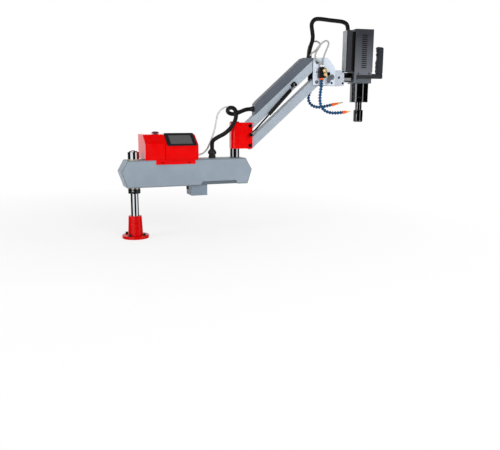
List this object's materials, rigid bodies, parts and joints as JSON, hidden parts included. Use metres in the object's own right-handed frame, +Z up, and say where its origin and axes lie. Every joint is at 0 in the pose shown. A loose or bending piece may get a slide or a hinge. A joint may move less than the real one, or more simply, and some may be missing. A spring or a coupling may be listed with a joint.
{
  "type": "arm tapping machine",
  "caption": "Bench-mounted articulated arm with a swivelling beam, a gas-sprung parallelogram link pair and a tilting motor head for tapping threads.",
  "frame": {"origin": "centre of the base flange's underside, on the column's axis", "axes": "+Z up along the column, +X along the beam from the column to the elbow post, +Y away from the control panel's sloping face"},
  "size_m": [1.5809, 0.328, 1.2494],
  "materials": {
    "socket_red": "gloss red enamel",
    "column_chrome": "hard chrome plated and ground",
    "black_steel": "black oxide",
    "beam_grey": "grey-blue semi-gloss enamel",
    "cream_ring": "turned brass",
    "bronze": "sintered bronze",
    "steel": "machined steel",
    "box_grey": "grey-blue semi-gloss enamel",
    "inlet_black": "moulded black",
    "housing_red": "gloss red enamel",
    "tray_steel": "zinc-plated sheet",
    "drive_black": "black anodised",
    "bezel_black": "fine moulded grain",
    "screen_glass": "dark glossy panel",
    "estop_red": "moulded red",
    "estop_yellow": "moulded",
    "gland_black": "moulded black",
    "elbow_red": "gloss red enamel",
    "link_grey": "silver-grey enamel",
    "cover_dark": "dark grey enamel",
    "strut_black": "black lacquer",
    "strut_chrome": "polished rod",
    "plate_silver": "fine brushed",
    "bar_rubber": "moulded sleeve",
    "valve_black": "black anodised",
    "lever_black": "moulded black",
    "hose_blue": "moulded segments",
    "nozzle_orange": "moulded orange",
    "head_grey": "dark grey semi-gloss enamel",
    "motor_black": "black anodised",
    "cable_grey": "light grey enamel",
    "reducer_black": "dark polished steel",
    "spindle_steel": "ground steel",
    "handle_grey": "dark grey enamel",
    "grip_rubber": "soft moulded grip",
    "button_green": "moulded green",
    "button_red": "moulded red",
    "conduit_black": "flexible sheath",
    "tube_clear": "clear polyurethane"
  },
  "bodies": {
    "base": {"base_socket": "socket_red", "base_column": "column_chrome"},
    "collar": {"height_collar": "black_steel", "collar_screws": "black_steel", "thrust_bearing": "steel"},
    "beam": {"beam_shell": "beam_grey", "bearing_blocks": "beam_grey", "column_sleeve": "steel", "column_bushes": "cream_ring", "elbow_post": "column_chrome", "post_cap": "black_steel", "power_box": "box_grey", "power_inlet": "inlet_black", "control_housing": "housing_red", "control_base": "tray_steel", "servo_drive": "drive_black", "screen_bezel": "bezel_black", "screen_glass": "screen_glass", "housing_screws": "black_steel", "estop_collar": "estop_yellow", "beam_glands": "gland_black", "conduit_lower": "conduit_black", "air_tube_lower": "tube_clear"},
    "estop": {"estop_button": "estop_red"},
    "elbow": {"elbow_bracket": "elbow_red", "elbow_bushes": "bronze", "elbow_pins": "black_steel"},
    "upper_arm": {"upper_link": "link_grey", "upper_bushes": "bronze", "cable_cover": "cover_dark", "cover_glands": "gland_black", "strut_bracket": "black_steel", "conduit_upper": "conduit_black"},
    "lower_arm": {"lower_link": "link_grey", "lower_bushes": "bronze"},
    "strut_tube": {"strut_cylinder": "strut_black"},
    "strut_piston": {"strut_rod": "strut_chrome"},
    "front_bracket": {"plate_near": "plate_silver", "plate_far": "plate_silver", "end_block": "plate_silver", "front_pins": "black_steel", "stop_bar": "bar_rubber", "block_screws": "black_steel", "manifolds": "valve_black", "coolant_hoses": "hose_blue", "hose_nozzles": "nozzle_orange", "air_tubes_upper": "tube_clear"},
    "valve": {"valve_lever": "lever_black"},
    "head": {"tilt_shaft": "reducer_black", "gear_block": "head_grey", "motor_cover": "head_grey", "servo_motor": "motor_black", "cable_box": "cable_grey", "reducer": "reducer_black", "handle_arm": "handle_grey", "hand_grip": "grip_rubber"},
    "spindle": {"spindle": "spindle_steel", "tap_holder": "spindle_steel"},
    "forward": {"forward_button": "button_green"},
    "reverse": {"reverse_button": "button_red"}
  },
  "joints": [
    {"name": "height_slide", "type": "slide", "parent": "base", "child": "collar", "axis": [0, 0, 1], "range_m": [-0.11, 0.04]},
    {"name": "base_swivel", "type": "hinge", "parent": "collar", "child": "beam", "pos_m": [0, 0, 0.287], "axis": [0, 0, 1], "range_deg": [-180, 180]},
    {"name": "estop_press", "type": "slide", "parent": "beam", "child": "estop", "axis": [0, 0, -1], "range_m": [0, 0.004], "stiffness_N_per_m": 1500, "springref_m": -0.001},
    {"name": "elbow_swivel", "type": "hinge", "parent": "beam", "child": "elbow", "pos_m": [0.6, 0, 0.491], "axis": [0, 0, 1], "range_deg": [-110, 130], "deforming": ["conduit_lower", "air_tube_lower"]},
    {"name": "arm_lift", "type": "hinge", "parent": "elbow", "child": "upper_arm", "pos_m": [0.68075, -0.01424, 0.6226], "axis": [-0.1736, -0.9848, 0], "range_deg": [-62.6, 12.4], "deforming": ["conduit_lower", "air_tube_lower"]},
    {"name": "lower_link_pivot", "type": "hinge", "parent": "elbow", "child": "lower_arm", "pos_m": [0.68075, -0.01424, 0.5096], "axis": [-0.1736, -0.9848, 0], "range_deg": [-62.6, 12.4]},
    {"name": "bracket_pivot", "type": "hinge", "parent": "upper_arm", "child": "front_bracket", "pos_m": [1.07293, -0.08339, 0.98879], "axis": [-0.1736, -0.9848, 0], "range_deg": [-12.4, 62.6], "deforming": ["conduit_upper", "air_tubes_upper"]},
    {"name": "strut_pivot", "type": "hinge", "parent": "upper_arm", "child": "strut_tube", "pos_m": [0.92609, -0.13061, 0.85792], "axis": [-0.1736, -0.9848, 0], "range_deg": [-0.74, 3.36]},
    {"name": "strut_slide", "type": "slide", "parent": "strut_tube", "child": "strut_piston", "axis": [-0.6644, 0.1172, -0.7381], "range_m": [-0.04803, 0.00991]},
    {"name": "valve_turn", "type": "hinge", "parent": "front_bracket", "child": "valve", "pos_m": [1.13099, -0.1444, 0.924], "axis": [-0.1736, -0.9848, 0], "range_deg": [0, 90]},
    {"name": "head_tilt", "type": "hinge", "parent": "front_bracket", "child": "head", "pos_m": [1.24111, -0.11305, 0.907], "axis": [0.9848, -0.1736, 0], "range_deg": [-90, 90], "deforming": ["conduit_upper"]},
    {"name": "spindle_spin", "type": "hinge", "parent": "head", "child": "spindle", "pos_m": [1.35732, -0.13353, 0.645], "axis": [0, 0, 1], "continuous": true},
    {"name": "forward_press", "type": "slide", "parent": "head", "child": "forward", "axis": [0.9848, -0.1736, 0], "range_m": [0, 0.003], "stiffness_N_per_m": 400, "springref_m": -0.001},
    {"name": "reverse_press", "type": "slide", "parent": "head", "child": "reverse", "axis": [0.9848, -0.1736, 0], "range_m": [0, 0.003], "stiffness_N_per_m": 400, "springref_m": -0.001}
  ],
  "couplings": [
    {"joint": "lower_link_pivot", "follows": "arm_lift", "ratio": 1},
    {"joint": "bracket_pivot", "follows": "arm_lift", "ratio": -1},
    {"joint": "strut_pivot", "follows": "arm_lift", "ratio": -0.052},
    {"joint": "strut_slide", "follows": "arm_lift", "m_per_rad": 0.0435}
  ]
}
